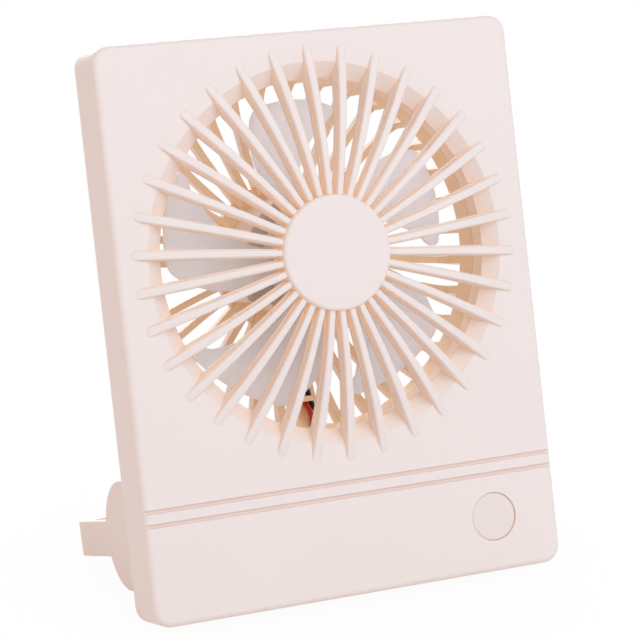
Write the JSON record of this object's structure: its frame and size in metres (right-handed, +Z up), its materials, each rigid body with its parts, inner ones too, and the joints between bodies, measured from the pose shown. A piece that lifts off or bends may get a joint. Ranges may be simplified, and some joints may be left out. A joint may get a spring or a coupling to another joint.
{
  "type": "pocket fan",
  "caption": "Square pocket fan that leans back on a folding stand, with an arched front grille, a spinning rotor, a push button and a barrel behind for its cell.",
  "frame": {"origin": "centre of the whole box on the table it stands on", "axes": "+X across the face to the button's side, -Y out of the face towards the user, +Z up; the face leans back from +Z"},
  "size_m": [0.1, 0.0612, 0.1254],
  "materials": {
    "shell": "satin",
    "cover": "satin",
    "blades": "translucent",
    "button": "satin",
    "stand": "satin",
    "clamp": "satin",
    "black_plastic": "satin",
    "board": "satin",
    "tape": "matte",
    "washer": "matte",
    "motor_steel": "plated",
    "bright_steel": "polished",
    "screw_steel": "plated",
    "switch_metal": "satin",
    "bush_brass": "plain",
    "cell": "sleeved",
    "lead_red": "satin",
    "lead_black": "satin"
  },
  "bodies": {
    "case": {"front_shell": "shell", "rear_cover": "cover", "motor_can": "motor_steel", "motor_end_cap": "black_plastic", "motor_bush": "bush_brass", "motor_clamp": "clamp", "clamp_screws": "screw_steel", "motor_lead_red": "lead_red", "motor_lead_black": "lead_black", "switch_body": "switch_metal", "circuit_board": "board", "board_screws": "screw_steel", "control_chip": "black_plastic", "usb_socket": "bright_steel", "usb_tongue": "black_plastic", "battery_cell": "cell", "battery_tape": "tape", "battery_lead_red": "lead_red", "battery_lead_black": "lead_black", "friction_washers": "washer", "case_screws": "screw_steel"},
    "rotor": {"fan_rotor": "blades", "motor_shaft": "bright_steel"},
    "button": {"button_cap": "button", "switch_plunger": "black_plastic"},
    "stand_frame": {"stand": "stand", "hinge_pins": "bright_steel", "hinge_clips": "bright_steel"}
  },
  "joints": [
    {"name": "fan_spin", "type": "hinge", "parent": "case", "child": "rotor", "pos_m": [0, -0.01233, 0.07745], "axis": [0, -0.9703, 0.2419], "continuous": true},
    {"name": "button_press", "type": "slide", "parent": "case", "child": "button", "axis": [0, 0.9703, -0.2419], "range_m": [0, 0.0005], "stiffness_N_per_m": 400},
    {"name": "stand_fold", "type": "hinge", "parent": "case", "child": "stand_frame", "pos_m": [0, -0.00097, 0.01432], "axis": [1, 0, 0], "range_deg": [0, 80]}
  ]
}
